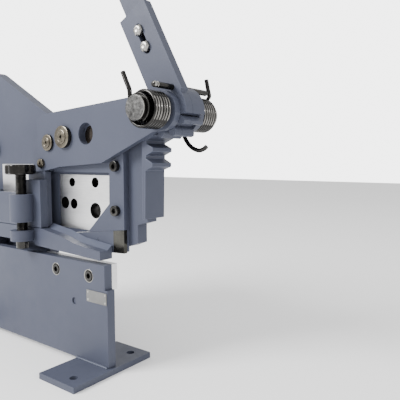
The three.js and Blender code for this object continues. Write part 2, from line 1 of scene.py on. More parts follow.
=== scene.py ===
"""Looks for the hand-lever shear: fine meshes, procedural materials, floor, lights and camera."""
import json
import math

import bmesh
import bpy
from mathutils import Euler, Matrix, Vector


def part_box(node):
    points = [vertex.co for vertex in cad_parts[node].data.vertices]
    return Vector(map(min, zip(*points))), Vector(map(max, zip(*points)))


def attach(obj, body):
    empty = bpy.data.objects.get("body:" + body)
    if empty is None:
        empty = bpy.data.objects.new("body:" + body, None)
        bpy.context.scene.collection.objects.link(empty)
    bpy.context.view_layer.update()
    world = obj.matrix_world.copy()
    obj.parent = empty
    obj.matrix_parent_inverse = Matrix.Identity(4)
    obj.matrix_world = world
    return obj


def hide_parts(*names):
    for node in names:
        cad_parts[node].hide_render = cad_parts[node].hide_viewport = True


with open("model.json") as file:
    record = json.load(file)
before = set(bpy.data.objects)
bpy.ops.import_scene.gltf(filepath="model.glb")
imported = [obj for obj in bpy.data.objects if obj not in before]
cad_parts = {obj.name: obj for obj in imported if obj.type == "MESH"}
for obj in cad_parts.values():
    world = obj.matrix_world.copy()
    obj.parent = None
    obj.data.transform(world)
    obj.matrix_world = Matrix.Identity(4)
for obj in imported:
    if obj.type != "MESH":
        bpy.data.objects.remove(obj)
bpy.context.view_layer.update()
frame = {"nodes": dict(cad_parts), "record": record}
RECORD = frame["record"]
BODY_OF = {node: body for body, nodes in RECORD["behaviour"]["bodies"].items() for node in nodes}
SLOT_OF = {entry["node"]: entry["material_slot"] for entry in RECORD["subparts"]}
MM = 0.001


def centre_of(node):
    low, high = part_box(node)
    return (low + high) / 2


def front_centre_of(node):
    """The middle of a piece's front end, where a screw has its head."""
    low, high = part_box(node)
    return Vector(((low.x + high.x) / 2, low.y, (low.z + high.z) / 2))


def length_along_y(node):
    low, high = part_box(node)
    return (high.y - low.y) / MM


# ---- Camera -------------------------------------------------------------------------
# The eye is placed from the working end's lower front corner of the body plate.
EYE_FROM_CORNER = Vector((0.5696, -0.5121, 0.3397))
EYE_AZIMUTH = math.radians(36.8)
EYE_PITCH = math.radians(-4.8)
LENS = 42.86
SENSOR_WIDTH = 36


def make_camera():
    low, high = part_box("body_plate")
    data = bpy.data.cameras.new("camera")
    data.lens = LENS
    data.sensor_width = SENSOR_WIDTH
    camera = bpy.data.objects.new("camera", data)
    camera.location = Vector((high.x, low.y, low.z)) + EYE_FROM_CORNER
    camera.rotation_euler = Euler((math.pi / 2 + EYE_PITCH, 0, EYE_AZIMUTH))
    bpy.context.scene.collection.objects.link(camera)
    bpy.context.scene.camera = camera


# ---- Materials ----------------------------------------------------------------------
class Recipe:
    """A node material under construction, with the few calls that the finishes need."""

    def __init__(self, name):
        self.material = bpy.data.materials.new(name)
        self.material.use_nodes = True
        self.tree = self.material.node_tree
        self.shader = self.tree.nodes["Principled BSDF"]
        coordinates = self.tree.nodes.new("ShaderNodeTexCoord")
        self.place = coordinates.outputs["Object"]

    def set(self, **values):
        for key, value in values.items():
            self.shader.inputs[key.replace("_", " ")].default_value = value
        return self

    def stretch(self, scale):
        mapping = self.tree.nodes.new("ShaderNodeMapping")
        mapping.inputs["Scale"].default_value = scale
        self.tree.links.new(self.place, mapping.inputs["Vector"])
        return mapping.outputs["Vector"]

    def noise(self, scale, detail=3.0, roughness=0.55, vector=None):
        node = self.tree.nodes.new("ShaderNodeTexNoise")
        node.inputs["Scale"].default_value = scale
        node.inputs["Detail"].default_value = detail
        node.inputs["Roughness"].default_value = roughness
        self.tree.links.new(vector or self.place, node.inputs["Vector"])
        return node.outputs["Fac"]

    def ramp(self, source, stops):
        node = self.tree.nodes.new("ShaderNodeValToRGB")
        elements = node.color_ramp.elements
        while len(elements) < len(stops):
            elements.new(0.5)
        for element, (position, color) in zip(elements, stops):
            element.position = position
            element.color = (*color, 1)
        self.tree.links.new(source, node.inputs["Fac"])
        return node.outputs["Color"]

    def grey(self, source, low, high, start=0.3, end=0.7):
        return self.ramp(source, [(start, (low,) * 3), (end, (high,) * 3)])

    def mix(self, factor, first, second, mode="MIX"):
        node = self.tree.nodes.new("ShaderNodeMix")
        node.data_type = "RGBA"
        node.blend_type = mode
        if isinstance(factor, float):
            node.inputs["Factor"].default_value = factor
        else:
            self.tree.links.new(factor, node.inputs["Factor"])
        self.tree.links.new(first, node.inputs["A"])
        self.tree.links.new(second, node.inputs["B"])
        return node.outputs["Result"]

    def color(self, source):
        self.tree.links.new(source, self.shader.inputs["Base Color"])

    def roughness(self, source):
        self.tree.links.new(source, self.shader.inputs["Roughness"])

    def metal(self, source):
        self.tree.links.new(source, self.shader.inputs["Metallic"])

    def bump(self, sources, strength, distance):
        normal = None
        for source in sources:
            node = self.tree.nodes.new("ShaderNodeBump")
            node.inputs["Strength"].default_value = strength
            node.inputs["Distance"].default_value = distance
            self.tree.links.new(source, node.inputs["Height"])
            if normal is not None:
                self.tree.links.new(normal, node.inputs["Normal"])
            normal = node.outputs["Normal"]
        self.tree.links.new(normal, self.shader.inputs["Normal"])


PAINT_DARK = (0.053, 0.059, 0.086)
PAINT_LIGHT = (0.063, 0.070, 0.099)


def paint_material():
    recipe = Recipe("machine_paint").set(Metallic=0.0, Coat_Weight=0.04, Coat_Roughness=0.25)
    recipe.set(Specular_IOR_Level=0.22)
    clouds = recipe.noise(7.0, 4.0)
    specks = recipe.noise(900.0, 2.0)
    base = recipe.ramp(clouds, [(0.32, PAINT_DARK), (0.68, PAINT_LIGHT)])
    tone = recipe.ramp(specks, [(0.35, (0.93, 0.93, 0.94)), (0.65, (1.0, 1.0, 1.0))])
    recipe.color(recipe.mix(1.0, base, tone, "MULTIPLY"))
    recipe.roughness(recipe.grey(recipe.noise(45.0, 3.0), 0.40, 0.52))
    recipe.bump([recipe.noise(520.0, 2.0), recipe.noise(60.0, 2.0)], strength=0.25, distance=0.00012)
    return recipe.material


# Edge paint: worn through to steel in patches, and lighter than PAINT all along as a painted highlight on
# the rounded edges.
def paint_edge_wear_and_highlight_material():
    recipe = Recipe("machine_paint_edge_wear_and_highlight").set(Coat_Weight=0.05, Coat_Roughness=0.25)
    recipe.set(Specular_IOR_Level=0.3)
    wear = recipe.noise(70.0, 5.0, 0.7)
    worn = recipe.ramp(wear, [(0.66, (0, 0, 0)), (0.74, (1, 1, 1))])
    # Lighter than PAINT: the painted highlight along the edges.
    paint = recipe.ramp(recipe.noise(9.0), [(0.3, (0.062, 0.072, 0.108)), (0.7, (0.09, 0.10, 0.140))])
    steel = recipe.ramp(recipe.noise(200.0), [(0.3, (0.22, 0.22, 0.22)), (0.7, (0.40, 0.39, 0.37))])
    recipe.color(recipe.mix(worn, paint, steel))
    recipe.roughness(recipe.grey(wear, 0.45, 0.32, start=0.5, end=0.7))
    recipe.metal(worn)
    return recipe.material


def brushed_metal(name, dark, light, rough, grain, grain_strength=0.25):
    """Ground or turned steel: fine scratches along one direction, a few clouds and stains."""
    recipe = Recipe(name).set(Metallic=1.0)
    scratches = recipe.noise(1.0, 4.0, 0.6, recipe.stretch(grain))
    clouds = recipe.noise(28.0, 4.0)
    base = recipe.ramp(clouds, [(0.3, dark), (0.7, light)])
    lines = recipe.grey(scratches, 0.86, 1.0)
    recipe.color(recipe.mix(1.0, base, lines, "MULTIPLY"))
    recipe.roughness(recipe.grey(scratches, rough[0], rough[1]))
    recipe.bump([scratches], strength=grain_strength, distance=0.00006)
    return recipe.material


def oiled_steel(name, dark, light, rough, pitting):
    """Black, slightly pitted steel with an oily sheen and some brown in the lows."""
    recipe = Recipe(name).set(Metallic=0.9, Coat_Weight=0.3, Coat_Roughness=0.2)
    pits = recipe.noise(420.0, 5.0, 0.7)
    stains = recipe.noise(60.0, 4.0)
    base = recipe.ramp(stains, [(0.3, dark), (0.75, light)])
    tone = recipe.grey(pits, 0.55, 1.15)
    recipe.color(recipe.mix(1.0, base, tone, "MULTIPLY"))
    recipe.roughness(recipe.grey(pits, rough[1], rough[0]))
    recipe.bump([pits], strength=pitting, distance=0.00012)
    return recipe.material


def rough_end_steel():
    """The sawn and hammered end of the shaft."""
    recipe = Recipe("sawn_steel").set(Metallic=0.75)
    grain = recipe.noise(190.0, 6.0, 0.75)
    base = recipe.ramp(grain, [(0.34, (0.014, 0.0135, 0.013)), (0.52, (0.08, 0.079, 0.077)),
                               (0.70, (0.20, 0.197, 0.193))])
    recipe.color(base)
    recipe.roughness(recipe.grey(grain, 0.55, 0.35))
    recipe.bump([grain], strength=0.8, distance=0.0003)
    return recipe.material


def rubber_material():
    recipe = Recipe("grip_rubber").set(Metallic=0.0)
    grain = recipe.noise(700.0, 3.0)
    recipe.color(recipe.ramp(grain, [(0.3, (0.016, 0.016, 0.017)), (0.7, (0.032, 0.032, 0.034))]))
    recipe.roughness(recipe.grey(recipe.noise(40.0), 0.62, 0.8))
    recipe.bump([grain], strength=0.5, distance=0.0002)
    return recipe.material


def floor_material():
    recipe = Recipe("floor").set(Metallic=0.0, Roughness=0.7)
    recipe.color(recipe.ramp(recipe.noise(0.6, 1.0), [(0.3, (0.93, 0.93, 0.93)), (0.7, (0.95, 0.95, 0.95))]))
    return recipe.material


PAINT = paint_material()
PAINT_EDGE_WEAR_AND_HIGHLIGHT = paint_edge_wear_and_highlight_material()
GROUND = brushed_metal("ground_steel", dark=(0.78, 0.78, 0.79), light=(0.90, 0.90, 0.90),
                       rough=(0.30, 0.42), grain=(40, 40, 1500))
GROUND_EDGE = brushed_metal("ground_steel_edges", dark=(0.80, 0.80, 0.80), light=(0.95, 0.95, 0.95),
                            rough=(0.18, 0.28), grain=(60, 60, 900))
BOLT = brushed_metal("plated_bolt_steel", dark=(0.075, 0.062, 0.046), light=(0.24, 0.215, 0.17),
                     rough=(0.22, 0.38), grain=(220, 900, 220))
BRIGHT_BOLT = brushed_metal("bright_bolt_steel", dark=(0.22, 0.215, 0.20), light=(0.55, 0.54, 0.51),
                            rough=(0.25, 0.40), grain=(300, 700, 300))
DARK = oiled_steel("oiled_steel", dark=(0.014, 0.0132, 0.0122), light=(0.058, 0.055, 0.050),
                   rough=(0.14, 0.24), pitting=0.14)
OLIVE = oiled_steel("bare_oily_steel", dark=(0.026, 0.025, 0.020), light=(0.055, 0.053, 0.044),
                    rough=(0.14, 0.22), pitting=0.05)
SPRING = oiled_steel("spring_wire", dark=(0.010, 0.0095, 0.009), light=(0.030, 0.028, 0.026),
                     rough=(0.16, 0.26), pitting=0.04)
# A lighter wire for the painted highlight on the springs' turns.
SPRING_HIGHLIGHT = brushed_metal("spring_wire_painted_highlight", dark=(0.130, 0.125, 0.117),
                             light=(0.330, 0.318, 0.300), rough=(0.16, 0.26),
                             grain=(300, 300, 300), grain_strength=0.05)
RUSTY = oiled_steel("rusty_bolt_end", dark=(0.010, 0.0085, 0.007), light=(0.110, 0.086, 0.068),
                    rough=(0.14, 0.24), pitting=0.3)
KNOB = oiled_steel("black_knob", dark=(0.007, 0.0066, 0.006), light=(0.030, 0.027, 0.023),
                   rough=(0.18, 0.30), pitting=0.2)
SAWN = rough_end_steel()
BRONZE = brushed_metal("bearing_bronze", dark=(0.36, 0.21, 0.08), light=(0.50, 0.32, 0.14),
                       rough=(0.3, 0.45), grain=(200, 600, 200))
PLATE = brushed_metal("rating_plate", dark=(0.15, 0.15, 0.148), light=(0.24, 0.24, 0.235),
                      rough=(0.34, 0.46), grain=(1200, 40, 40))
RUBBER = rubber_material()
# Each slot's look for flat faces and for rounded edges; the paint's edge look carries a painted highlight
# besides its wear.
LOOKS = {
    "paint": (PAINT, PAINT_EDGE_WEAR_AND_HIGHLIGHT), "dark_steel": (DARK, DARK), "bolt_steel": (BOLT, BOLT),
    "ground_steel": (GROUND, GROUND_EDGE), "bronze": (BRONZE, BRONZE),
    "plate_metal": (PLATE, PLATE), "rubber": (RUBBER, RUBBER),
}


# ---- Mesh helpers -------------------------------------------------------------------
SMOOTH_ANGLE = math.radians(33)                   # a sharper fold than this stays a crease
ROUNDED_ANGLE = math.radians(32)                  # a sharper edge than this is rounded off
FLAT_ANGLE = math.radians(0.8)                    # faces that meet flatter than this become one
JOIN_DISTANCE = 0.02 * MM
TINY = 0.0005 * MM                                # points closer than this are one
FLUTES = 8
FLUTE_DEPTH = 0.09                                # of the radius


def settle(piece, body, materials, node=None):
    """Gives a new piece its materials, shading and place in the frame."""
    for material in materials:
        piece.data.materials.append(material)
    piece.data.polygons.foreach_set("use_smooth", [True] * len(piece.data.polygons))
    piece.data.set_sharp_from_angle(angle=SMOOTH_ANGLE)
    weighted = piece.modifiers.new("weighted_normals", "WEIGHTED_NORMAL")
    weighted.keep_sharp = True
    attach(piece, body)
    if node:
        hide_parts(node)


def new_piece(name, bm):
    mesh = bpy.data.meshes.new(name)
    bmesh.ops.recalc_face_normals(bm, faces=bm.faces[:])
    bm.to_mesh(mesh)
    bm.free()
    piece = bpy.data.objects.new(name, mesh)
    bpy.context.scene.collection.objects.link(piece)
    return piece


def refine(node, bevel, zones=(), bisect_x=None):
    """A copy of a CAD solid with clean flat faces and rounded edges, in its place.
    A zone is (material, test): faces whose centre and normal pass the test take it.
    bisect_x cuts the faces at that x, so that a zone can end there."""
    bm = bmesh.new()
    bm.from_mesh(frame["nodes"][node].data)
    bmesh.ops.remove_doubles(bm, verts=bm.verts[:], dist=JOIN_DISTANCE)
    bmesh.ops.dissolve_limit(bm, angle_limit=FLAT_ANGLE, verts=bm.verts[:], edges=bm.edges[:])
    edges = [edge for edge in bm.edges
             if len(edge.link_faces) == 2 and edge.calc_face_angle(0) > ROUNDED_ANGLE]
    bmesh.ops.bevel(bm, geom=edges, offset=bevel * MM, offset_type="OFFSET", segments=2,
                    profile=0.6, affect="EDGES", clamp_overlap=True, material=1)
    if bisect_x is not None:
        whole = bm.verts[:] + bm.edges[:] + bm.faces[:]
        bmesh.ops.bisect_plane(bm, geom=whole, plane_co=(bisect_x, 0, 0), plane_no=(1, 0, 0))
    bm.normal_update()
    materials = list(LOOKS[SLOT_OF[node]])
    for material, test in zones:
        for face in bm.faces:
            if test(face.calc_center_median(), face.normal):
                face.material_index = len(materials)
        materials.append(material)
    settle(new_piece(f"{node}_fine", bm), BODY_OF[node], materials, node)


def hexagon(angle):
    """How far a hexagon reaches at an angle, as a share of its corners' radius."""
    sector = (angle % (math.pi / 3)) - math.pi / 6
    return math.cos(math.pi / 6) / math.cos(sector)


def fluted(angle):
    return 1 - FLUTE_DEPTH * (0.5 + 0.5 * math.cos(angle * FLUTES)) ** 2


SHAPES = {"round": lambda angle: 1.0, "hex": hexagon, "fluted": fluted}


def skin(bm, rings):
    """Faces from each ring of points to the next, where a ring of one point is a tip."""
    for lower, upper in zip(rings, rings[1:]):
        steps = max(len(lower), len(upper))
        for step in range(steps if steps > 1 else 0):
            following = (step + 1) % steps
            if len(lower) == 1:
                bm.faces.new((lower[0], upper[following], upper[step]))
            elif len(upper) == 1:
                bm.faces.new((lower[step], lower[following], upper[0]))
            else:
                bm.faces.new((lower[step], lower[following], upper[following], upper[step]))


def point_about(centre, axis, reach, angle, along):
    """A point at a reach and an angle round an axis through centre; lengths in mm."""
    across, up = reach * math.cos(angle) * MM, reach * math.sin(angle) * MM
    if axis == "Y":
        return centre + Vector((across, along * MM, up))
    return centre + Vector((across, up, along * MM))


def turned(name, centre, axis, rows, steps=48):
    """A solid turned about an axis through centre. Each row is (radius, place along the
    axis, cross-section), in mm and counted from the centre. Where the first or last radius
    isn't 0, that end stays open."""
    bm = bmesh.new()
    rings = []
    for radius, along, shape in rows:
        if radius == 0:
            rings.append([bm.verts.new(point_about(centre, axis, 0, 0, along))])
            continue
        ring = []
        for step in range(steps):
            angle = 2 * math.pi * step / steps
            reach = radius * SHAPES[shape](angle)
            ring.append(bm.verts.new(point_about(centre, axis, reach, angle, along)))
        rings.append(ring)
    skin(bm, rings)
    return new_piece(name, bm)


def stand_in(node, piece, *materials):
    """Settles a piece in the place of a CAD node, on that node's body."""
    settle(piece, BODY_OF[node], materials, node)


# ---- Fasteners ----------------------------------------------------------------------
SOCKET_DEPTH_SHARE = 0.62                         # of the head's thickness
CORNER_SHARE = 0.86                               # of the radius, where a hexagon's chamfer starts


def socket_head(node, head, thick, shank, socket, material):
    """A socket-head screw along Y, its head at the front end of the CAD screw."""
    centre = front_centre_of(node)
    length = length_along_y(node)
    deep = thick * SOCKET_DEPTH_SHARE
    rows = [(0, deep, "hex"), (socket, deep, "hex"), (socket, 0.5, "hex"), (socket + 0.6, 0, "hex"),
            (socket + 1.0, 0, "round"), (head - 1.2, 0, "round"), (head - 0.35, 0.35, "round"),
            (head, 1.2, "round"), (head, thick, "round"), (shank, thick, "round"),
            (shank, length - 0.8, "round"), (shank - 0.8, length, "round"), (0, length, "round")]
    stand_in(node, turned(f"{node}_fine", centre, "Y", rows), material)


def cheek_pin(node, head, thick, shank):
    """A shouldered pin: a turned face with ring grooves and a drilled centre, and a dark rim."""
    centre = front_centre_of(node)
    length = length_along_y(node)
    boss = head * 0.64
    hole = head * 0.15
    groove = head * 0.42
    rows = [(0, 3.2), (hole, 2.6), (hole, 0.6), (hole + 0.7, 0), (groove - 0.7, 0), (groove, 0.5),
            (groove + 0.7, 0), (boss - 1.0, 0), (boss - 0.2, 0.5), (boss, 1.5), (head - 1.8, 1.7),
            (head - 0.4, 2.3), (head, 3.4), (head, thick), (shank, thick), (shank, length - 1),
            (shank - 1, length), (0, length)]
    piece = turned(f"{node}_fine", centre, "Y", [(*row, "round") for row in rows], steps=64)
    for polygon in piece.data.polygons:
        spot = polygon.center - centre
        reach = math.hypot(spot.x, spot.z) / MM
        if reach < hole or abs(polygon.normal.y) < 0.6:
            polygon.material_index = 1
    stand_in(node, piece, BOLT, DARK)


def crowned_bolt(node, material):
    """A hexagon head whose crown is rounded off, and its plain shank."""
    centre = front_centre_of(node)
    length = length_along_y(node)
    head, thick, shank = 9.0, 6.0, 5.8
    rows = [(0, 0.5, "round"), (head * 0.34, 0.4, "round"), (head * 0.42, 0, "round"),
            (head * 0.66, 0.3, "round"), (head * CORNER_SHARE, 1.2, "hex"), (head, 2.6, "hex"),
            (head, thick, "hex"), (shank, thick, "round"), (shank, length - 1, "round"),
            (shank - 1, length, "round"), (0, length, "round")]
    stand_in(node, turned(f"{node}_fine", centre, "Y", rows), material)


def hex_nut(node, bore, material):
    """A nut with chamfered corners. The wall of its bore joins the two open ends."""
    low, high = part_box(node)
    length = length_along_y(node)
    corner_radius = (high.z - low.z) / MM / 2
    chamfer = 1.2
    rows = [(bore, 0, "round"), (corner_radius * CORNER_SHARE, 0, "round"), (corner_radius, chamfer, "hex"),
            (corner_radius, length - chamfer, "hex"), (corner_radius * CORNER_SHARE, length, "round"),
            (bore, length, "round")]
    piece = turned(f"{node}_fine", front_centre_of(node), "Y", rows)
    bm = bmesh.new()
    bm.from_mesh(piece.data)
    ends = [edge for edge in bm.edges if edge.is_boundary]
    bmesh.ops.bridge_loops(bm, edges=ends)
    bmesh.ops.recalc_face_normals(bm, faces=bm.faces[:])
    bm.to_mesh(piece.data)
    bm.free()
    stand_in(node, piece, material)


def make_fasteners():
    cheek_pin("large_cheek_pin", head=19.5, thick=9, shank=10)
    cheek_pin("small_cheek_pin", head=15, thick=6, shank=7)
    socket_head("cheek_bolt", head=8.5, thick=5, shank=4.5, socket=3.4, material=BOLT)
    for node in ("lower_blade_screw_1", "lower_blade_screw_2"):
        socket_head(node, head=9, thick=7.7, shank=5, socket=4.6, material=DARK)
    for node in ("jaw_cap_screw_1", "jaw_cap_screw_2"):
        socket_head(node, head=9, thick=6.6, shank=5, socket=4.6, material=DARK)
    for node in ("lever_bolt_1", "lever_bolt_2"):
        crowned_bolt(node, BRIGHT_BOLT)
    for node, bore in (("large_pin_nut", 10.3), ("small_pin_nut", 7.3), ("jaw_pivot_nut", 15.3),
                       ("lever_nut_1", 6.1), ("lever_nut_2", 6.1)):
        hex_nut(node, bore, BOLT)


# ---- Shaft, springs and pins --------------------------------------------------------
NOT_ALONG_WIRE = Vector((0.3, 0.9, 0.2))          # no wire starts in this direction


def tube(name, points, radius_at, sides):
    """A round wire along a list of points, with its two ends closed and slightly rounded."""
    bm = bmesh.new()
    rings = []
    count = len(points)
    side = None
    for index, point in enumerate(points):
        ahead = points[min(index + 1, count - 1)]
        behind = points[max(index - 1, 0)]
        tangent = (ahead - behind).normalized()
        if side is None:
            side = tangent.cross(NOT_ALONG_WIRE).normalized()
        side = (side - tangent * side.dot(tangent)).normalized()
        up = tangent.cross(side)
        ring = []
        for step in range(sides):
            angle = 2 * math.pi * step / sides
            spoke = side * math.cos(angle) + up * math.sin(angle)
            ring.append(bm.verts.new(point + spoke * radius_at(point)))
        rings.append(ring)
    skin(bm, rings)
    for ring, point in ((rings[0], points[0]), (rings[-1], points[-1])):
        cap = bm.faces.new(ring)
        radius = radius_at(point)
        bmesh.ops.inset_region(bm, faces=[cap], thickness=radius * 0.25, depth=radius * 0.15)
    return new_piece(name, bm)


def smooth_path(points, per_span=4):
    """Catmull-Rom points through a short list of corners."""
    padded = [points[0] * 2 - points[1], *points, points[-1] * 2 - points[-2]]
    result = []
    for a, b, c, d in zip(padded, padded[1:], padded[2:], padded[3:]):
        for step in range(per_span):
            t = step / per_span
            result.append(0.5 * ((2 * b) + (c - a) * t + (2 * a - 5 * b + 4 * c - d) * t * t
                                 + (3 * b - a - 3 * c + d) * t ** 3))
    result.append(points[-1])
    return result


WIRE_RADIUS = 2.76 * MM
FREE_END_RADIUS = 3.5 * MM                        # the legs and the hook are a little stouter
COIL_RADIUS = 24.9 * MM
COIL_PITCH = 5.6 * MM
WIRE_SIDES = 18
FLARE_LENGTH = 8 * MM                             # outside the coil, where the wire gets stouter
HIGHLIGHT_FROM = 0.80                                 # the painted highlight band on each turn's outer crest, in wire radii outside the coil's own radius
HIGHLIGHT_TO = 1.05                                   # coil's own radius
HIGHLIGHT_HALF_ANGLE = math.radians(38)              # each way from the working end, where the highlight is painted
FRONT_SPRING = {"coil_start": 135, "direction": 115.6, "length": 40, "turns": 6}
REAR_SPRING = {"coil_start": 61.5, "direction": 102.3, "length": 37, "turns": 6.46}
# The rear spring's hook past its last turn: (x, z) in mm from the shaft's axis.
HOOK = [(-14, -32), (-9, -41), (-2, -49), (7, -54.5), (17, -57), (26, -54.5), (31, -51)]


def spring_points(axis, start, spring, side):
    """One straight leg down to the coil, then the turns, as the CAD spring has them.
    side is 1 where the turns run towards +Y from the start, and -1 where towards -Y."""
    coil_start = math.radians(spring["coil_start"])
    direction = math.radians(spring["direction"])
    away = Vector((math.cos(direction), 0, math.sin(direction))) * spring["length"] * MM

    def on_coil(turned_by):
        angle = coil_start + turned_by * 2 * math.pi
        return Vector((axis.x + COIL_RADIUS * math.cos(angle), start + side * turned_by * COIL_PITCH,
                       axis.z + COIL_RADIUS * math.sin(angle)))

    foot = on_coil(0)
    corners = [foot + away * share for share in (1, 0.6, 0.25)]
    steps_per_turn = 40
    steps = round(spring["turns"] * steps_per_turn)
    coil = [on_coil(i / steps_per_turn) for i in range(2, steps + 1)]
    return smooth_path(corners + coil[:1]) + coil[1:]


def finish_spring(node, points, axis):
    """Black wire with a painted highlight: a lighter band on the outer crest of each turn,
    on the side that faces the working end.
    """
    def radius_at(point):
        outside = math.hypot(point.x - axis.x, point.z - axis.z) - COIL_RADIUS
        share = min(1, max(0, outside / FLARE_LENGTH))
        return WIRE_RADIUS + (FREE_END_RADIUS - WIRE_RADIUS) * share

    piece = tube(f"{node}_fine", points, radius_at, sides=WIRE_SIDES)
    highlight_inner = COIL_RADIUS + HIGHLIGHT_FROM * WIRE_RADIUS
    highlight_outer = COIL_RADIUS + HIGHLIGHT_TO * WIRE_RADIUS
    # Faces on the outer crest near the working-end side take the painted highlight.
    for polygon in piece.data.polygons:
        across, up = polygon.center.x - axis.x, polygon.center.z - axis.z
        in_highlight = abs(math.atan2(up, across)) < HIGHLIGHT_HALF_ANGLE
        if in_highlight and highlight_inner < math.hypot(across, up) < highlight_outer:
            polygon.material_index = 1
    stand_in(node, piece, SPRING, SPRING_HIGHLIGHT)


def make_springs():
    axis = centre_of("pinion_shaft")
    front_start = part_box("front_spring")[0].y + WIRE_RADIUS
    rear_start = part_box("rear_spring")[1].y - WIRE_RADIUS
    front = spring_points(axis, front_start, FRONT_SPRING, 1)
    finish_spring("front_spring", front, axis)
    rear = spring_points(axis, rear_start, REAR_SPRING, -1)
    last = rear[-1]
    hook = [last] + [Vector((axis.x + x * MM, last.y, axis.z + z * MM)) for x, z in HOOK]
    rear = rear[:-1] + smooth_path(hook, per_span=6)
    finish_spring("rear_spring", rear, axis)


def make_shaft():
    axis = centre_of("pinion_shaft")
    half = length_along_y("pinion_shaft") / 2
    radius = 18
    # From the middle of an end face out and over its rounded rim: (radius, distance inwards).
    end = [(0, 0), (9, 0), (radius - 1.6, 0.1), (radius - 0.5, 0.6), (radius, 1.8)]
    rows = [(reach, -half + inwards, "round") for reach, inwards in end]
    rows += [(reach, half - inwards, "round") for reach, inwards in reversed(end)]
    piece = turned("pinion_shaft_fine", axis, "Y", rows, steps=64)
    for polygon in piece.data.polygons:
        if abs(polygon.normal.y) > 0.9:
            polygon.material_index = 1
        elif abs(polygon.normal.y) > 0.2:
            polygon.material_index = 2
    stand_in("pinion_shaft", piece, DARK, SAWN, BRIGHT_BOLT)


def make_stop_pin():
    centre = centre_of("stop_pin")
    half = length_along_y("stop_pin") / 2
    radius = 4.5
    rings = [(0, -half), (2.4, -half), (3.9, -half + 0.8), (radius, -half + 2.4),
             (radius, -half + 5.0), (3.7, -half + 5.8), (3.7, -half + 7.8), (radius, -half + 8.6),
             (radius, half - 2.4), (3.9, half - 0.8), (2.4, half), (0, half)]
    piece = turned("stop_pin_fine", centre, "Y", [(*ring, "round") for ring in rings], steps=32)
    for polygon in piece.data.polygons:
        depth = (polygon.center.y - centre.y) / MM + half
        if 0.4 < depth < 5.4 or 8.0 < depth < 8.5:
            polygon.material_index = 1
    stand_in("stop_pin", piece, DARK, BRIGHT_BOLT)


# ---- Hold-down screw and knob -------------------------------------------------------
def make_hold_down_screw():
    """A coarse thread from the bar up to the knob, and a plain foot."""
    low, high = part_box("hold_down_screw")
    axis = Vector(((low.x + high.x) / 2, (low.y + high.y) / 2, 0))
    length = (high.z - low.z) / MM
    foot_radius, foot_height = 11.4, 14.2
    crest, root, lead = 9.95, 8.75, 2.5
    crest_width = 1.3                             # above 1, the crest is flat for part of a turn
    sides, rows_per_turn = 36, 6
    foot = [(0.0, 0.0), (foot_radius - 1.0, 0.001), (foot_radius, 1.0),
            (foot_radius, foot_height - 0.8), (foot_radius - 0.8, foot_height)]
    rings = [[point] * sides for point in foot]
    rows = int((length - foot_height) / lead * rows_per_turn)
    for row in range(rows + 1):
        height = foot_height + row * lead / rows_per_turn
        ring = []
        for step in range(sides):
            phase = (height / lead - step / sides) % 1.0
            wave = abs(phase - 0.5) * 2
            ring.append((root + (crest - root) * min(1.0, wave * crest_width), height))
        rings.append(ring)
    rings.append([(root - 1.0, length)] * sides)
    rings.append([(0.0, length)] * sides)
    bm = bmesh.new()
    grid = []
    for ring in rings:
        grid.append([])
        for step, (radius, height) in enumerate(ring):
            angle = 2 * math.pi * step / sides
            across, up = radius * math.cos(angle) * MM, radius * math.sin(angle) * MM
            grid[-1].append(bm.verts.new(axis + Vector((across, up, low.z + height * MM))))
    skin(bm, grid)
    bmesh.ops.remove_doubles(bm, verts=bm.verts[:], dist=TINY)
    bmesh.ops.dissolve_degenerate(bm, edges=bm.edges[:], dist=TINY)
    stand_in("hold_down_screw", new_piece("hold_down_screw_fine", bm), DARK)


def make_knob():
    """A fluted knob with a shallow dish on top, round the end of the screw."""
    low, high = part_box("hand_knob")
    centre = Vector(((low.x + high.x) / 2, (low.y + high.y) / 2, low.z))
    tall = (high.z - low.z) / MM
    radius = 26.8
    rows = [(0, 0.5, "round"), (radius - 5, 0, "round"), (radius - 1.4, 0.4, "fluted"),
            (radius, 2.2, "fluted"), (radius, tall - 3.0, "fluted"),
            (radius - 1.2, tall - 1.0, "fluted"), (radius - 4, tall - 0.2, "round"),
            (12, tall - 0.1, "round"), (11, tall - 1.6, "round"), (0, tall - 1.8, "round")]
    stand_in("hand_knob", turned("hand_knob_fine", centre, "Z", rows, steps=80), KNOB)


# ---- Pieces that keep their CAD shape -----------------------------------------------
# How far each piece's edges are rounded, in mm.
BEVELS = {
    "body_plate": 0.9, "right_foot": 0.8, "left_foot": 0.8, "frame_plate": 0.9, "lower_packing": 0.8,
    "front_packing": 0.7, "rear_packing": 0.7, "front_cheek": 0.8, "rear_cheek": 0.8, "screw_lug": 0.8,
    "jaw_front_plate": 0.6, "jaw_rear_plate": 0.8, "jaw_block": 0.8, "rack_segment": 0.7,
    "lever_arm": 0.6, "pinion": 0.6, "lever_bar": 0.9, "hold_down_bar": 0.9,
    "lower_blade": 0.35, "upper_blade": 0.3, "fixed_profile_knife": 0.4, "moving_profile_knife": 0.4,
    "fixed_angle_knife": 0.4, "jaw_pivot_bush": 0.4, "jaw_pivot_pin": 0.6, "jaw_tie_bolt": 0.6,
    "upper_blade_screw_1": 0.3, "upper_blade_screw_2": 0.3, "upper_blade_screw_3": 0.3,
    "front_shaft_clip": 0.3, "rear_shaft_clip": 0.3, "hand_grip": 1.2, "rating_plate": 0.2,
}
BARE_END_LENGTH = 25.2 * MM                       # the unpainted end of the upper blade


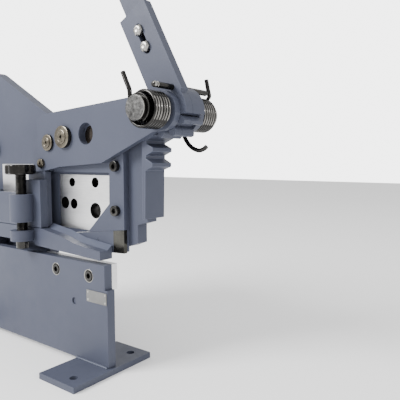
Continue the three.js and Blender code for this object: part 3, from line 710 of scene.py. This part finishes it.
def make_rounded_pieces():
    """The pieces of BEVELS. A few have painted, oily or rusty faces besides their own look, and
    some carry painted light: shade in the knives' holes, a highlight on the hold-down bar's chamfer.
    """
    bare_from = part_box("upper_blade")[1].x - BARE_END_LENGTH
    blade_zones = (
        (PAINT, lambda centre, normal: normal.y < -0.5 and centre.x < bare_from),
        (OLIVE, lambda centre, normal: (normal.y < -0.5 or normal.x > 0.5) and centre.x >= bare_from),
    )
    # The knives' sides and hole walls take dark oiled steel; inside the holes this dark is also painted
    # shade.
    knife_oil_and_shade_zones = ((DARK, lambda centre, normal: abs(normal.y) < 0.5),)
    tie_bolt_zones = ((RUSTY, lambda centre, normal: normal.y < -0.5),)
    screw_zones = ((PAINT, lambda centre, normal: normal.y < -0.5),)
    # The hold-down bar's upward front chamfer takes the lighter, worn edge paint: a painted highlight along
    # it.
    chamfer_wear_and_highlight_zones = ((PAINT_EDGE_WEAR_AND_HIGHLIGHT, lambda centre, normal: normal.z > 0.4 and normal.y < -0.3),)
    special = {
        "hold_down_bar": {"zones": chamfer_wear_and_highlight_zones},
        "upper_blade": {"zones": blade_zones, "bisect_x": bare_from},
        "fixed_profile_knife": {"zones": knife_oil_and_shade_zones},
        "moving_profile_knife": {"zones": knife_oil_and_shade_zones},
        "jaw_tie_bolt": {"zones": tie_bolt_zones},
        "upper_blade_screw_1": {"zones": screw_zones},
        "upper_blade_screw_2": {"zones": screw_zones},
        "upper_blade_screw_3": {"zones": screw_zones},
    }
    for node, bevel in BEVELS.items():
        refine(node, bevel, **special.get(node, {}))


def make_counterbore_rims():
    """The bare chamfer round each counterbore that a lower blade screw sits in."""
    inner, outer, proud = 9.4, 11.2, 0.15
    outline = [(inner, 1.2), (inner + 0.5, 0.1), (outer - 0.3, -proud), (outer, 0.0),
               (outer - 0.3, 0.5), (inner, 1.2)]
    rows = [(*point, "round") for point in outline]
    for number in (1, 2):
        centre = front_centre_of(f"lower_blade_screw_{number}")
        centre.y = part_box("body_plate")[0].y
        rim = turned(f"counterbore_rim_{number}", centre, "Y", rows)
        settle(rim, "root", [BRIGHT_BOLT])


def make_rivets():
    """A small round rivet in each corner of the blank rating plate."""
    low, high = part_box("rating_plate")
    inset, radius, proud, sunk = 3.5 * MM, 1.7, 0.6, 0.3
    outline = [(0, -proud), (radius * 0.6, -proud * 0.85), (radius, -proud * 0.2), (radius, sunk),
               (0, sunk)]
    rows = [(*point, "round") for point in outline]
    for row, z in enumerate((low.z + inset, high.z - inset)):
        for column, x in enumerate((low.x + inset, high.x - inset)):
            name = f"plate_rivet_{row}_{column}"
            rivet = turned(name, Vector((x, low.y, z)), "Y", rows, steps=20)
            settle(rivet, "root", [BRIGHT_BOLT])


def make_weld():
    """A weld bead along the front of the body plate, where it stands on the right foot."""
    low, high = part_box("body_plate")
    foot_low, foot_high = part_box("right_foot")
    steps = 60
    bead_radius = 1.7 * MM
    ripple_height, ripple_phase = 0.35 * MM, 1.9  # the phase, in radians, is from point to point
    start = Vector((foot_low.x, low.y - 1.4 * MM, foot_high.z + 1.0 * MM))
    length = high.x - foot_low.x - 2 * MM
    points = []
    for step in range(steps + 1):
        ripple = ripple_height * math.sin(step * ripple_phase)
        points.append(start + Vector((length * step / steps, ripple, ripple)))
    bead = tube("foot_weld_bead", points, lambda point: bead_radius, sides=10)
    # The bead takes the lighter edge paint: a painted highlight along the weld.
    settle(bead, "root", [PAINT_EDGE_WEAR_AND_HIGHLIGHT])


# ---- Floor and light ----------------------------------------------------------------
FLOOR_SIZE = 14


def make_floor():
    bpy.ops.mesh.primitive_plane_add(size=FLOOR_SIZE)
    floor = bpy.context.object
    floor.name = "floor"
    floor.data.materials.append(floor_material())


SURROUND_LIGHT = 1.15
BACKDROP_LIGHT = 4.6                              # what the camera sees of the surround
LAMP_TARGET = Vector((0, 0, 0.3))
LAMPS = {
    "key_front_left": {"place": (-1.2, -2.2, 2.0), "size": 1.3, "power": 160},
    "top": {"place": (-0.2, 0.2, 2.8), "size": 2.0, "power": 14},
    "glint_right": {"place": (1.9, -0.2, 1.0), "size": 0.14, "power": 7.0},
}


def area_light(name, place, size, power):
    data = bpy.data.lights.new(name, "AREA")
    data.size = size
    data.energy = power
    lamp = bpy.data.objects.new(name, data)
    lamp.location = place
    lamp.rotation_euler = (LAMP_TARGET - Vector(place)).to_track_quat("-Z", "Y").to_euler()
    bpy.context.scene.collection.objects.link(lamp)


def make_light():
    """A white surround that looks brighter to the camera than the light it gives, and LAMPS."""
    world = bpy.data.worlds.new("studio")
    world.use_nodes = True
    tree = world.node_tree
    surround = tree.nodes["Background"]
    surround.inputs["Color"].default_value = (1, 1, 1, 1)
    surround.inputs["Strength"].default_value = SURROUND_LIGHT
    backdrop = tree.nodes.new("ShaderNodeBackground")
    backdrop.inputs["Color"].default_value = (1, 1, 1, 1)
    backdrop.inputs["Strength"].default_value = BACKDROP_LIGHT
    rays = tree.nodes.new("ShaderNodeLightPath")
    blend = tree.nodes.new("ShaderNodeMixShader")
    tree.links.new(rays.outputs["Is Camera Ray"], blend.inputs["Fac"])
    tree.links.new(surround.outputs["Background"], blend.inputs[1])
    tree.links.new(backdrop.outputs["Background"], blend.inputs[2])
    tree.links.new(blend.outputs["Shader"], tree.nodes["World Output"].inputs["Surface"])
    bpy.context.scene.world = world
    for name, lamp in LAMPS.items():
        area_light(name, **lamp)


make_camera()
make_rounded_pieces()
make_fasteners()
make_springs()
make_shaft()
make_stop_pin()
make_hold_down_screw()
make_knob()
make_counterbore_rims()
make_rivets()
make_weld()
make_floor()
make_light()
